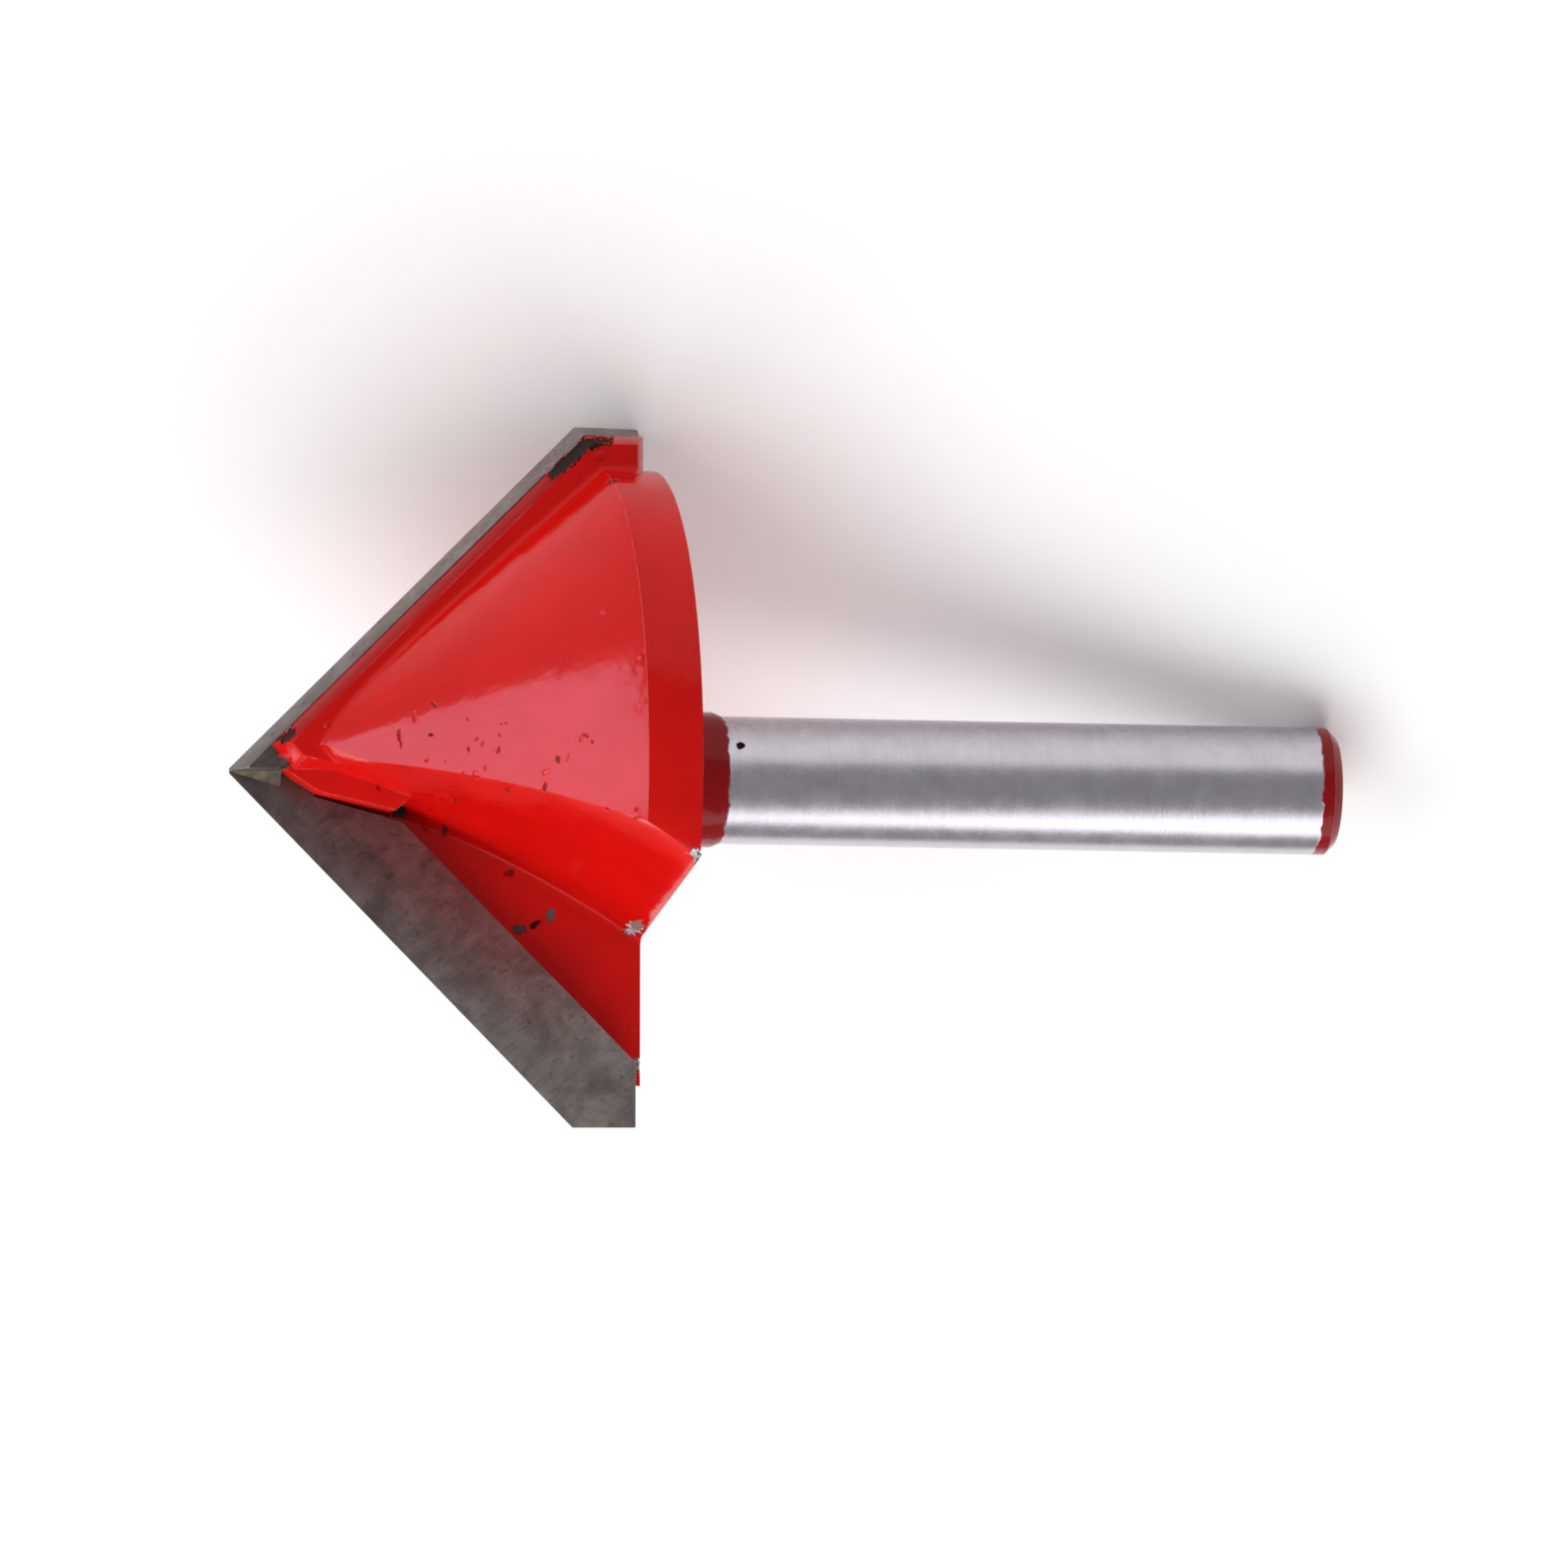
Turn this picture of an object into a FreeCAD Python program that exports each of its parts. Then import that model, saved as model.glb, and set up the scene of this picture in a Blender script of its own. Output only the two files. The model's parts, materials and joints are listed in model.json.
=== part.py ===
# V groove router bit: a turned and milled steel body with two brazed carbide cutting tips.
#
# The bit is drawn in its tool frame: X runs along the axis from the virtual point of the V
# to the end of the shank, Y is across the axis, and the two rake faces lie in the XY plane.
# Tip 1 cuts on the -Y side and its rake face looks up (+Z). Tip 2 is tip 1 turned half a
# turn about the axis. Each piece is then laid down as it comes to rest on a table: on the
# rear corner of tip 2, the rear corner of the heel beside it and the rim of the shank end.
import FreeCAD, Part
import math
import os

import Sketcher

os.makedirs("parts", exist_ok=True)
doc = FreeCAD.newDocument("v_groove_router_bit")

# Driving dimensions, in millimetres and degrees
DIMENSIONS = {
    "shank_diameter": 6.35,      # 1/4 in collet shank
    "overall_length": 56.0,      # from the virtual point to the shank end
    "shank_chamfer": 0.45,
    "neck_diameter": 6.75,       # unground shoulder between head and shank
    "neck_length": 3.2,
    "neck_taper": 0.5,
    "cutting_diameter": 35.0,    # across the two outer corners
    "point_angle": 90.0,         # angle of the V that the bit cuts
    "tip_flat": 0.12,            # blunt end of the cutting point
    "side_land": 3.2,            # straight side edge behind the V edge
    "back_taper": 1.0,
    "relief_angle": 20.0,        # clearance ground behind every cutting edge
    "carbide_thickness": 1.5,
    "carbide_width": 4.6,        # from the cutting edge to the inner edge
    "nose_angle": 15.0,          # inner front edge of the carbide, from the axis
    "corner_radius": 0.6,        # back corner of the carbide, at its brazed face
    "corner_break": 0.08,        # the same corner at the rake face
    "braze_gap": 0.1,
    "seam_rise": 0.5,            # braze fillet at the point, up the side of the other tip
    "seam_start": 0.35,
    "web_start": 2.5,            # front end of the steel web between the tips
    "web_shoulder": 4.4,
    "web_heel": 8.3,             # where the web's sides leave the inner edges of the tips
    "web_clearance": 0.3,        # from those edges to the web there
    "web_rear": 9.6,
    "web_rear_width": 1.6,
    "land_backing": 1.45,        # steel ridge left standing behind each tip
    "land_width": 4.2,
    "nose_front": 3.2,           # front of that ridge: distance along axis plus height
    "ramp_radius": 0.55,         # hollow between ridge and flank
    "lobe_clearance": 1.8,       # band radius below the cutting radius
    "flank_start": 0.07,         # where the flank's slope would reach the lobe's axis
    "lobe_shift": 0.4,           # each half is turned about an axis set off by this
    "flank_relief": 4.5,         # flank angle below the half angle of the V
    "back_step": 0.5,            # body behind the carbide
    "flute_radius": 54.0,        # path of the cutter that mills the flute
    "flute_depth": 7.85,         # height of the flute root above the axis, at the back
    "flute_slope": 34.0,         # slope of the flute root there
    "flute_wall_angle": 7.5,
    "flute_corner": 0.5,
    "gash_offset": 3.75,         # nose gash: its corner, from the point along the other edge
    "gash_wall_angle": 18.0,
    "gash_corner": 0.5,
}

sheet = doc.addObject("Spreadsheet::Sheet", "Dimensions")
for row, (name, value) in enumerate(DIMENSIONS.items(), start=1):
    sheet.set(f"A{row}", name)
    sheet.set(f"B{row}", str(value))
    sheet.setAlias(f"B{row}", name)
doc.recompute()


def expand(text):
    """An expression in which a word with a dot in front is a cell of the sheet."""
    return text.replace(" .", " Dimensions.").replace("(.", "(Dimensions.")


def value_of(text):
    """The number that an expression of the sheet comes to."""
    return float(sheet.evalExpression(expand(text)))


# Two places closer than this are the same
SAME = 1e-4

# Rounds in which the touching point of the round shank is found
SETTLING_ROUNDS = 40

# Places that several pieces share, as expressions of the sheet
HALF = "( .point_angle / 2)"
RADIUS = "( .cutting_diameter / 2)"
CORNER = f"({RADIUS} / tan({HALF}))"
BACK = f"({CORNER} + .side_land)"
BODY_BACK = f"({BACK} + .back_step)"
SEAT = "( .carbide_thickness + .braze_gap)"
RIDGE = f"({SEAT} + .land_backing)"
LOBE_RADIUS = f"({RADIUS} - .lobe_clearance)"
TAN_RELIEF = "tan( .relief_angle)"
PLATE_INSET = f"( .carbide_thickness * {TAN_RELIEF})"
LEAD = f"({PLATE_INSET} / sin({HALF}))"
INNER = f"( .carbide_width / sin({HALF}))"
INNER_FRONT = f"( .carbide_width / cos({HALF}) / (tan({HALF}) - tan( .nose_angle)))"
SHOULDER = "( .web_shoulder * tan( .nose_angle))"
BACK_RADIUS = f"({RADIUS} - .side_land * tan( .back_taper))"
JOINT_APEX = "( .web_start + 2 * .braze_gap)"


def in_plane(body, role, name, base=("0", "0", "0"), turn=None):
    """A sketch on one of the body's own origin planes, set off and turned by expressions."""
    plane = next(f for f in body.Origin.OriginFeatures if f.Role == role)
    sketch = body.newObject("Sketcher::SketchObject", name)
    sketch.AttachmentSupport = (plane, "")
    sketch.MapMode = "FlatFace"
    if turn:
        axis, angle = turn
        sketch.AttachmentOffset = FreeCAD.Placement(
            FreeCAD.Vector(), FreeCAD.Rotation(axis, 1)
        )
        sketch.setExpression(".AttachmentOffset.Rotation.Angle", expand(angle))
    for letter, offset in zip("xyz", base):
        if offset != "0":
            sketch.setExpression(
                f".AttachmentOffset.Base.{letter}", expand(f"({offset}) * 1 mm")
            )
    return sketch


def outline(sketch, corners, bends=None):
    """A closed outline through corners, each placed by two expressions.

    bends gives the radius of each edge that is an arc, by the number of its first corner;
    the arc's centre is on the left of its chord.
    """
    bends = bends or {}
    corners = [[expand(text) for text in corner] for corner in corners]
    places = [
        FreeCAD.Vector(*(float(sketch.evalExpression(text)) for text in corner), 0)
        for corner in corners
    ]
    count = len(places)
    starts = {}
    for index, start in enumerate(places):
        end = places[(index + 1) % count]
        if index in bends:
            radius = float(sketch.evalExpression(expand(bends[index])))
            middle = (start + end) / 2
            chord = end - start
            across = FreeCAD.Vector(-chord.y, chord.x, 0).normalize()
            reach = math.sqrt(radius**2 - (chord.Length / 2) ** 2)
            centre = middle + across * reach
            first = math.atan2(start.y - centre.y, start.x - centre.x)
            last = math.atan2(end.y - centre.y, end.x - centre.x)
            circle = Part.Circle(centre, FreeCAD.Vector(0, 0, 1), radius)
            edge = sketch.addGeometry(Part.ArcOfCircle(circle, first, last), False)
        else:
            edge = sketch.addGeometry(Part.LineSegment(start, end), False)
        starts[index] = edge
    for index in range(count):
        after = (index + 1) % count
        sketch.addConstraint(
            Sketcher.Constraint("Coincident", starts[index], 2, starts[after], 1)
        )
        for axis, line, text, value in zip("XY", (-2, -1), corners[index], places[index]):
            if text == "0":
                sketch.addConstraint(
                    Sketcher.Constraint("PointOnObject", starts[index], 1, line)
                )
            else:
                number = sketch.addConstraint(
                    Sketcher.Constraint(f"Distance{axis}", -1, 1, starts[index], 1, value)
                )
                sketch.setExpression(f"Constraints[{number}]", text)
        if index in bends:
            radius = float(sketch.evalExpression(expand(bends[index])))
            number = sketch.addConstraint(Sketcher.Constraint("Radius", starts[index], radius))
            sketch.setExpression(f"Constraints[{number}]", expand(bends[index]))


def opposite(body, feature, name):
    """The feature again, half a turn about the tool axis."""
    axis = next(f for f in body.Origin.OriginFeatures if f.Role == "X_Axis")
    pattern = body.newObject("PartDesign::PolarPattern", name)
    pattern.Originals = [feature]
    pattern.Axis = (axis, [""])
    pattern.Angle = 360
    pattern.Occurrences = 2
    body.Tip = pattern
    doc.recompute()
    return pattern


def new_body(label):
    body = doc.addObject("PartDesign::Body", label)
    body.Label = label
    return body


# Steel body: turned halves, milled flutes, ridges behind the tips, nose and shank
steel = new_body("bit_body")


def turned_half():
    """Half of the head, turned about an axis set off towards the tip that it clears."""
    sketch = in_plane(steel, "XY_Plane", "half_profile", base=("0", "- .lobe_shift", "0"))
    band_edge = f"( .flank_start + {LOBE_RADIUS} / tan({HALF} - .flank_relief))"
    outline(
        sketch,
        [
            (" .flank_start", "0"),
            (BODY_BACK, "0"),
            (BODY_BACK, LOBE_RADIUS),
            (band_edge, LOBE_RADIUS),
        ],
    )
    half = steel.newObject("PartDesign::Revolution", "turned_half")
    half.Profile = sketch
    half.ReferenceAxis = (sketch, ["H_Axis"])
    half.Angle = 180
    opposite(steel, half, "turned_halves")


def shank():
    """Neck and shank, turned with the head."""
    sketch = in_plane(steel, "XY_Plane", "shank_profile")
    neck_end = f"({BODY_BACK} + .neck_length)"
    outline(
        sketch,
        [
            (CORNER, "0"),
            (" .overall_length", "0"),
            (" .overall_length", " .shank_diameter / 2 - .shank_chamfer"),
            (" .overall_length - .shank_chamfer", " .shank_diameter / 2"),
            (f"{neck_end} + .neck_taper", " .shank_diameter / 2"),
            (neck_end, " .neck_diameter / 2"),
            (CORNER, " .neck_diameter / 2"),
        ],
    )
    turned = steel.newObject("PartDesign::Revolution", "shank")
    turned.Profile = sketch
    turned.ReferenceAxis = (sketch, ["H_Axis"])
    turned.Angle = 360
    steel.Tip = turned
    doc.recompute()


def flutes():
    """The flute in front of each tip: its flat floor is the seat, its wall leans outwards."""
    centre_x = f"({BODY_BACK} - .flute_radius * sin( .flute_slope))"
    depth = "( .flute_depth + .flute_radius * cos( .flute_slope))"
    sketch = in_plane(steel, "XZ_Plane", "flute_section", base=(centre_x, "0", depth))
    tangent = "( .flute_corner * tan((90 - .flute_wall_angle) / 2))"
    top = f"({RADIUS} + .flute_corner)"
    outline(
        sketch,
        [
            ("0", f"-{SEAT}"),
            (f" .flute_radius - {tangent}", f"-{SEAT}"),
            (
                f" .flute_radius + {tangent} * sin( .flute_wall_angle)",
                f"{tangent} * cos( .flute_wall_angle) - {SEAT}",
            ),
            (f" .flute_radius + ({top} + {SEAT}) * tan( .flute_wall_angle)", top),
            ("0", top),
        ],
        bends={1: " .flute_corner"},
    )
    cut = steel.newObject("PartDesign::Groove", "flute")
    cut.Profile = sketch
    cut.ReferenceAxis = (sketch, ["V_Axis"])
    cut.Angle = 360
    steel.Tip = cut
    doc.recompute()
    opposite(steel, cut, "flutes")


def seats():
    """Room for each tip over its seat, however the flute runs."""
    sketch = in_plane(steel, "XY_Plane", "seat_outline", base=("0", "0", f"-{SEAT}"))
    outline(
        sketch,
        [
            (JOINT_APEX, "0"),
            ("0", "0"),
            ("0", "- .cutting_diameter"),
            (BODY_BACK, "- .cutting_diameter"),
            (BODY_BACK, f"-({BODY_BACK} - {INNER}) * tan({HALF})"),
            (INNER_FRONT, f"-{INNER_FRONT} * tan( .nose_angle)"),
            (" .web_shoulder", f" .braze_gap - {SHOULDER}"),
        ],
    )
    cut = steel.newObject("PartDesign::Pocket", "seat")
    cut.Profile = sketch
    cut.setExpression("Length", expand(" .cutting_diameter * 1 mm"))
    cut.Reversed = True
    steel.Tip = cut
    doc.recompute()
    opposite(steel, cut, "seats")


def web():
    """The wedge of steel at the nose that both tips are brazed against."""
    sketch = in_plane(steel, "XY_Plane", "web_outline")
    shoulder = f"({SHOULDER} - .braze_gap)"
    heel = "( .web_heel * tan( .nose_angle) - .web_clearance)"
    outline(
        sketch,
        [
            (JOINT_APEX, "0"),
            (" .web_shoulder", f"-{shoulder}"),
            (" .web_heel", f"-{heel}"),
            (" .web_rear", "- .web_rear_width / 2"),
            (" .web_rear", " .web_rear_width / 2"),
            (" .web_heel", heel),
            (" .web_shoulder", shoulder),
        ],
    )
    pad = steel.newObject("PartDesign::Pad", "nose_web")
    pad.Profile = sketch
    pad.setExpression("Length", expand(f"2 * {SEAT}"))
    pad.Midplane = True
    steel.Tip = pad
    doc.recompute()


def ridges():
    """The ridge behind each tip, ground with the same relief as the carbide."""
    sketch = in_plane(steel, "XY_Plane", "ridge_outline", base=("0", "0", SEAT))
    inset = f"({SEAT} * {TAN_RELIEF})"
    lead = f"({inset} / sin({HALF}))"
    side = f"({RADIUS} - {inset})"
    outline(
        sketch,
        [
            (f" .nose_front / 2 + {lead} / 2", f" .nose_front / 2 - {lead} / 2"),
            (" .nose_front", "0"),
            (" .web_shoulder + .land_width", "0"),
            (BACK, f"{side} - .land_width"),
            (BACK, side),
            (f"{side} / tan({HALF}) + {lead}", side),
        ],
    )
    pad = steel.newObject("PartDesign::Pad", "ridge")
    pad.Profile = sketch
    pad.setExpression("Length", expand(" .land_backing * 1 mm"))
    pad.setExpression("TaperAngle", expand("- .relief_angle * 1 deg"))
    steel.Tip = pad
    doc.recompute()
    opposite(steel, pad, "ridges")


def nose_gash():
    """The cut across the nose that ends each flank, run along the other tip's edge."""
    turn = (FreeCAD.Vector(0, 1, 0), f"{HALF} * 1 deg")
    sketch = in_plane(steel, "XZ_Plane", "gash_section", turn=turn)
    tangent = "( .gash_corner * tan((90 - .gash_wall_angle) / 2))"
    lean = f"({RADIUS} - {RIDGE}) * tan( .gash_wall_angle)"
    outline(
        sketch,
        [
            (f"-{RADIUS}", RIDGE),
            (f" .gash_offset - {tangent}", RIDGE),
            (
                f" .gash_offset + {tangent} * sin( .gash_wall_angle)",
                f"{RIDGE} + {tangent} * cos( .gash_wall_angle)",
            ),
            (f" .gash_offset + {lean}", RADIUS),
            (f"-{RADIUS}", RADIUS),
        ],
        bends={1: " .gash_corner"},
    )
    cut = steel.newObject("PartDesign::Pocket", "nose_gash")
    cut.Profile = sketch
    cut.setExpression("Length", expand(f"2 * {RADIUS}"))
    cut.Midplane = True
    steel.Tip = cut
    doc.recompute()
    opposite(steel, cut, "nose_gashes")


def along_axis(face):
    """Whether a face is turned about a line along the tool, as flanks and bands are."""
    turned = face.Surface.TypeId in ("Part::GeomCone", "Part::GeomCylinder")
    return turned and abs(face.Surface.Axis.x) > 0.99


def hollows():
    """The hollow where each ridge's rear face runs into the flank and band of its half."""
    level = value_of(RIDGE)
    foot = []
    for number, edge in enumerate(steel.Shape.Edges, start=1):
        beside = [f for f in steel.Shape.Faces if any(edge.isSame(e) for e in f.Edges)]
        flat = all(abs(abs(vertex.Z) - level) < SAME for vertex in edge.Vertexes)
        if flat and any(along_axis(face) for face in beside):
            foot.append(f"Edge{number}")
    bare = steel.Tip
    fillet = steel.newObject("PartDesign::Fillet", "hollows")
    fillet.Base = (bare, foot)
    fillet.setExpression("Radius", expand(" .ramp_radius * 1 mm"))
    steel.Tip = fillet
    doc.recompute()


# Carbide tips, each a ground plate, and the brazing alloy under them
def plate_outline(inset, radius):
    """The plate's outline, its ground edges set in by inset, its back corner rounded."""
    lead = f"({inset} / sin({HALF}))"
    return [
        (" .web_start", "0"),
        (f"{lead} + .tip_flat", "0"),
        (f"{lead} + .tip_flat", f"- .tip_flat * tan({HALF})"),
        (f"({RADIUS} - {inset}) / tan({HALF}) + {lead}", f"{inset} - {RADIUS}"),
        (f"{BACK} - {radius}", f"{inset} - {BACK_RADIUS}"),
        (BACK, f"{inset} + {radius} - {BACK_RADIUS}"),
        (BACK, f"-({BACK} - {INNER}) * tan({HALF})"),
        (INNER_FRONT, f"-{INNER_FRONT} * tan( .nose_angle)"),
        (" .web_shoulder", f"-{SHOULDER}"),
    ]


def carbide_tip(label):
    """One plate: rake face up, relief on its V edge and side edge, square inner edges."""
    body = new_body(label)
    rake = in_plane(body, "XY_Plane", label + "_rake_outline")
    outline(rake, plate_outline("0", " .corner_break"), bends={4: " .corner_break"})
    depth = ("0", "0", "- .carbide_thickness")
    back = in_plane(body, "XY_Plane", label + "_back_outline", base=depth)
    outline(back, plate_outline(PLATE_INSET, " .corner_radius"), bends={4: " .corner_radius"})
    plate = body.newObject("PartDesign::AdditiveLoft", label + "_plate")
    plate.Profile = rake
    plate.Sections = [back]
    plate.Ruled = True
    body.Tip = plate
    doc.recompute()
    return body


def braze_layer(label):
    """Brazing alloy: a sheet under one plate, a joint at the web and a seam at the point."""
    body = new_body(label)
    slope = f"({SHOULDER} / ( .web_shoulder - .web_start))"
    front = f"(( .nose_front + {slope} * .web_start) / (1 + {slope}))"
    plate = plate_outline(PLATE_INSET, " .corner_radius")
    under = in_plane(body, "XY_Plane", label + "_seat_outline", base=("0", "0", f"-{SEAT}"))
    outline(
        under,
        [
            (front, f"{front} - .nose_front"),
            (f"( .nose_front + {LEAD}) / 2", f"({LEAD} - .nose_front) / 2"),
            *plate[3:],
        ],
        bends={3: " .corner_radius"},
    )
    bed = body.newObject("PartDesign::Pad", label + "_bed")
    bed.Profile = under
    bed.setExpression("Length", expand(" .braze_gap * 1 mm"))
    doc.recompute()

    upright = in_plane(body, "XY_Plane", label + "_joint_outline", base=("0", "0", f"-{SEAT}"))
    outline(
        upright,
        [
            (" .web_start", "0"),
            (" .web_shoulder", f"-{SHOULDER}"),
            (" .web_shoulder", f" .braze_gap - {SHOULDER}"),
            (JOINT_APEX, "0"),
        ],
    )
    joint = body.newObject("PartDesign::Pad", label + "_joint")
    joint.Profile = upright
    joint.setExpression("Length", expand(f"{SEAT} * 1 mm"))
    doc.recompute()

    small = in_plane(body, "YZ_Plane", label + "_seam_front", base=("0", "0", " .seam_start"))
    large = in_plane(body, "YZ_Plane", label + "_seam_rear", base=("0", "0", JOINT_APEX))
    for sketch, place in ((small, " .seam_start"), (large, JOINT_APEX)):
        rise = f" .seam_rise * {place} / {JOINT_APEX}"
        outline(sketch, [("0", "0"), ("0", rise), (f"-{place} * tan( .nose_angle)", "0")])
    seam = body.newObject("PartDesign::AdditiveLoft", label + "_seam")
    seam.Profile = small
    seam.Sections = [large]
    seam.Ruled = True
    body.Tip = seam
    doc.recompute()
    return body


turned_half()
shank()
flutes()
ridges()
hollows()
seats()
web()
nose_gash()

bodies = [steel]
for number in (1, 2):
    bodies.append(carbide_tip(f"carbide_tip_{number}"))
    bodies.append(braze_layer(f"braze_layer_{number}"))


# The rear corner of tip 2, on which the bit rests
REAR_CORNER = FreeCAD.Vector(value_of(BACK), value_of(BACK_RADIUS), 0)


def resting_rotation():
    """The turn that lays the bit on its rear tip corner, the heel beside it and its shank."""
    corner = REAR_CORNER
    heels = [
        vertex.Point for vertex in steel.Shape.Vertexes
        if abs(vertex.X - value_of(BODY_BACK)) < SAME
        and vertex.Y > 0 and vertex.Z < -value_of(SEAT)
    ]
    heel = max(heels, key=lambda point: point.y**2 + point.z**2)
    rim = value_of(" .overall_length - .shank_chamfer")
    side = FreeCAD.Vector(0, corner.y + heel.y, corner.z + heel.z).normalize()
    for _ in range(SETTLING_ROUNDS):
        touch = FreeCAD.Vector(rim, 0, 0) + side * value_of(" .shank_diameter / 2")
        down = (heel - corner).cross(touch - corner).normalize()
        if down * corner < 0:
            down = down * -1
        side = FreeCAD.Vector(0, down.y, down.z).normalize()
    up = down * -1
    along = (FreeCAD.Vector(1, 0, 0) - up * up.x).normalize()
    return FreeCAD.Rotation(along, up.cross(along), up, "ZXY").inverted()


def lay_down():
    """Each piece on the table, the middle of the whole bit's footprint at the origin."""
    half_turn = FreeCAD.Placement(
        FreeCAD.Vector(), FreeCAD.Rotation(FreeCAD.Vector(1, 0, 0), 180)
    )
    lay = FreeCAD.Placement(FreeCAD.Vector(), resting_rotation())
    for body in bodies:
        second = body.Label.endswith("_2")
        body.Placement = lay.multiply(half_turn) if second else lay
    doc.recompute()
    boxes = [body.Shape.optimalBoundingBox(False, False) for body in bodies]
    middle_x = (min(box.XMin for box in boxes) + max(box.XMax for box in boxes)) / 2
    middle_y = (min(box.YMin for box in boxes) + max(box.YMax for box in boxes)) / 2
    table = lay.multVec(REAR_CORNER).z
    to_origin = FreeCAD.Placement(
        FreeCAD.Vector(-middle_x, -middle_y, -table), FreeCAD.Rotation()
    )
    for body in bodies:
        body.Placement = to_origin.multiply(body.Placement)
    doc.recompute()


lay_down()
for item in doc.Objects:
    if "Invalid" in item.State or "Error" in item.State:
        raise SystemExit(f"{item.Label} did not build: {item.State}")
for body in bodies:
    if body.Shape.isNull() or not body.Shape.isValid():
        raise SystemExit(f"{body.Label} has no valid solid")
for body in bodies:
    body.Shape.exportStep(f"parts/{body.Label}.step")
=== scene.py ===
import json
import math
import random

import bmesh
import bpy
from mathutils import Matrix, Vector
from mathutils import noise as mathutils_noise
from mathutils.bvhtree import BVHTree


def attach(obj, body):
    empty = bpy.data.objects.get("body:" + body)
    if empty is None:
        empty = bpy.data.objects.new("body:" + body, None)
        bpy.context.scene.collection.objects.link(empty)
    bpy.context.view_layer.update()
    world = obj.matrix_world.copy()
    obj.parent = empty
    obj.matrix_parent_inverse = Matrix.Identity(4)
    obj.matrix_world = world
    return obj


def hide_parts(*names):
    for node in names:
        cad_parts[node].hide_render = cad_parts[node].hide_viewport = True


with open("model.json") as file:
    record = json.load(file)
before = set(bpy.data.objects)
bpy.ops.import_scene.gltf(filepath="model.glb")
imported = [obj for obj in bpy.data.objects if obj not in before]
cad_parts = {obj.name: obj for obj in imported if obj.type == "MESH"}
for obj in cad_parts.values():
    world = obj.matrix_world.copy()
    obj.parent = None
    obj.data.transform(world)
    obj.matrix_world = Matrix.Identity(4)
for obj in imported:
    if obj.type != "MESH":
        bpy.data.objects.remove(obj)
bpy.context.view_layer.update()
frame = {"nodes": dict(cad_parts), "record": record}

MM = 0.001

nodes = frame["nodes"]
record = frame["record"]


# The tool's own directions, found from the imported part: x runs along the axis from the
# point to the shank, y from the axis to the rear corner of tip 2, z completes them.
RADIUS = 17.5 * MM           # half the cutting diameter; a 90 degree point is as deep
BODY_BACK = 21.2 * MM        # rear face of the head


def tool_directions():
    """The point's place and the tool's three directions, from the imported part."""
    shank = next(m for m in record["mounts"] if m["name"] == "shank")
    on_axis = Vector(shank["pos_m"])
    along = Vector(shank["axis"]).normalized()
    if along.x < 0:
        along = -along
    corner = max(
        (v.co for v in nodes["carbide_tip_2"].data.vertices),
        key=lambda co: ((co - on_axis) - along * (co - on_axis).dot(along)).length,
    )
    offset = corner - on_axis
    outwards = (offset - along * offset.dot(along)).normalized()
    point = on_axis + along * (offset.dot(along) - RADIUS)
    return point, along, outwards, along.cross(outwards)


POINT, ALONG, ACROSS, FACING = tool_directions()


# Camera: the photograph's viewing angle and framing
YAW = math.radians(10.5)
PITCH = math.radians(5.3)
ROLL = math.radians(1.08)
FRAME_PIXELS = 1569          # the photo is square
PIXELS_PER_MM = 20.16
POINT_PIXEL = (226.4, 771.2)     # where the photo shows the point
CAMERA_DISTANCE = 1.8        # metres
CAMERA_CLIP_END = 20         # metres
SENSOR = 36.0                # mm


def tool_vector(x, y, z):
    """A direction given in the tool's own directions."""
    return ALONG * x + ACROSS * y + FACING * z


level = tool_vector(
    math.cos(YAW), -math.sin(PITCH) * math.sin(YAW), math.cos(PITCH) * math.sin(YAW)
)
upright = tool_vector(0, math.cos(PITCH), math.sin(PITCH))
TO_CAMERA = level.cross(upright).normalized()
RIGHT = level * math.cos(ROLL) + upright * math.sin(ROLL)
UP = -level * math.sin(ROLL) + upright * math.cos(ROLL)


def photo_offset(pixel):
    """How far a photo pixel lies from the point's pixel, to the right and up, in metres."""
    x, y = pixel
    scale = MM / PIXELS_PER_MM
    return (x - POINT_PIXEL[0]) * scale, (POINT_PIXEL[1] - y) * scale


def make_camera():
    """The camera, far enough away for the photo's nearly parallel view."""
    middle = FRAME_PIXELS / 2
    right, up = photo_offset((middle, middle))
    aim = POINT + RIGHT * right + UP * up
    data = bpy.data.cameras.new("photo_camera")
    data.sensor_width = SENSOR
    data.lens = SENSOR * CAMERA_DISTANCE / (FRAME_PIXELS / PIXELS_PER_MM * MM)
    data.clip_end = CAMERA_CLIP_END
    camera = bpy.data.objects.new("photo_camera", data)
    turn = Matrix((RIGHT, UP, TO_CAMERA)).transposed().to_4x4()
    camera.matrix_world = Matrix.Translation(aim + TO_CAMERA * CAMERA_DISTANCE) @ turn
    bpy.context.scene.collection.objects.link(camera)
    bpy.context.scene.camera = camera


make_camera()


# Building shader trees
MIX_SOCKETS = {              # first input, second input and result of a Mix node
    "RGBA": (6, 7, 2),
    "FLOAT": (2, 3, 0),
}


def put(tree, node, name, value):
    """Sets an input, by name or number, to a value or links it to a socket."""
    socket = node.inputs[name]
    if isinstance(value, bpy.types.NodeSocket):
        tree.links.new(value, socket)
    else:
        socket.default_value = value


def calc(tree, operation, first, second=0.0, third=None, clamp=False):
    """The result of a Math node, of values or sockets."""
    node = tree.nodes.new("ShaderNodeMath")
    node.operation = operation
    node.use_clamp = clamp
    put(tree, node, 0, first)
    put(tree, node, 1, second)
    if third is not None:
        put(tree, node, 2, third)
    return node.outputs[0]


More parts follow.
